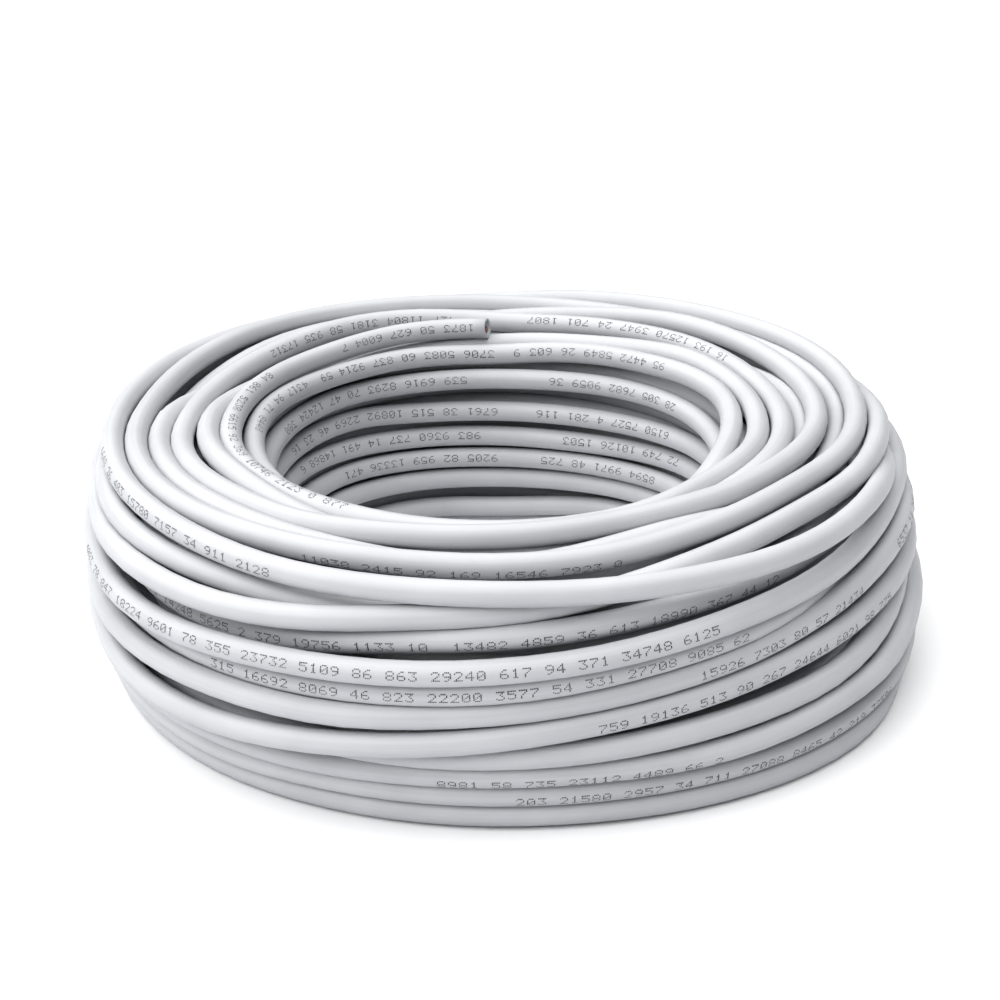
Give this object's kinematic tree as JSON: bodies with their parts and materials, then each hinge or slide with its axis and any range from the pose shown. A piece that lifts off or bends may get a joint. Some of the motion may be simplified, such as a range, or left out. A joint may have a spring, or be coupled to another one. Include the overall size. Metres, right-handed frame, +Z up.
{
  "type": "coil of electrical cable",
  "caption": "Round light-grey electrical cable in a flat-lying coil, its cut free end on top.",
  "frame": {"origin": "centre of the coil at floor level", "axes": "+Z up along the coil's axis; +Y to the back, where the cut end lies; +X to the right"},
  "size_m": [0.3334, 0.3334, 0.0949],
  "materials": {
    "sheath_pvc": "satin",
    "insulation_brown": "satin",
    "insulation_blue": "satin",
    "copper": "bare copper"
  },
  "bodies": {
    "root": {"wound_turns": "sheath_pvc", "free_turn": "sheath_pvc", "core_brown": "insulation_brown", "core_blue": "insulation_blue", "conductor_brown": "copper", "conductor_blue": "copper"}
  },
  "joints": []
}
